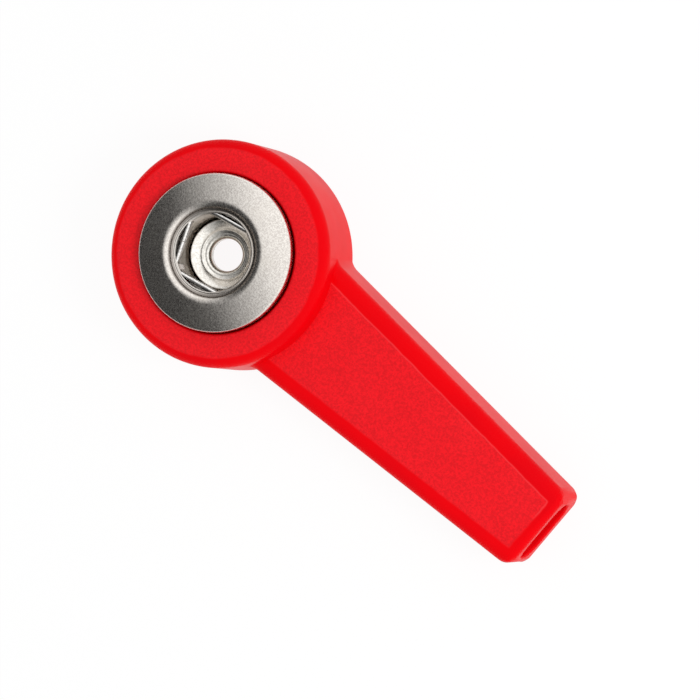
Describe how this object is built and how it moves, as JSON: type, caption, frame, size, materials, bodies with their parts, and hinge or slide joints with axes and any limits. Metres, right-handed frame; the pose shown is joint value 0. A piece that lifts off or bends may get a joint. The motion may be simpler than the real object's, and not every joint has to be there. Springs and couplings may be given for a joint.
{
  "type": "press-stud lead adapter",
  "caption": "Flat moulded lead adapter: a round head with a riveted spring press-stud socket and a tapered hollow tail with a slot in its end for the lead.",
  "frame": {"origin": "on the flat back, at the middle of the object's length and width", "axes": "+Z out of the socket, away from the flat back; +X from the round head to the tail's end"},
  "size_m": [0.0308, 0.0132, 0.0065],
  "materials": {
    "red_plastic": "fine spark-eroded grain on the flat faces, smooth satin edges and walls",
    "nickel_plate": "satin nickel plate with a fine grain",
    "spring_steel": "bright drawn wire",
    "plain_steel": "plated, dull",
    "contact_brass": "stamped, satin"
  },
  "bodies": {
    "adapter": {"body": "red_plastic", "socket_shell": "nickel_plate", "spring_retainer": "plain_steel", "eyelet": "nickel_plate", "back_washer": "plain_steel", "contact_strip": "contact_brass"},
    "spring_front": {"spring_half_front": "spring_steel"},
    "spring_rear": {"spring_half_rear": "spring_steel"}
  },
  "joints": [
    {"name": "spring_open_front", "type": "slide", "parent": "adapter", "child": "spring_front", "axis": [-0.2079, 0.9781, 0], "range_m": [0, 0.0002], "stiffness_N_per_m": 20},
    {"name": "spring_open_rear", "type": "slide", "parent": "adapter", "child": "spring_rear", "axis": [0.2079, -0.9781, 0], "range_m": [0, 0.0002], "stiffness_N_per_m": 20}
  ],
  "couplings": [
    {"joint": "spring_open_rear", "follows": "spring_open_front", "ratio": 1}
  ]
}
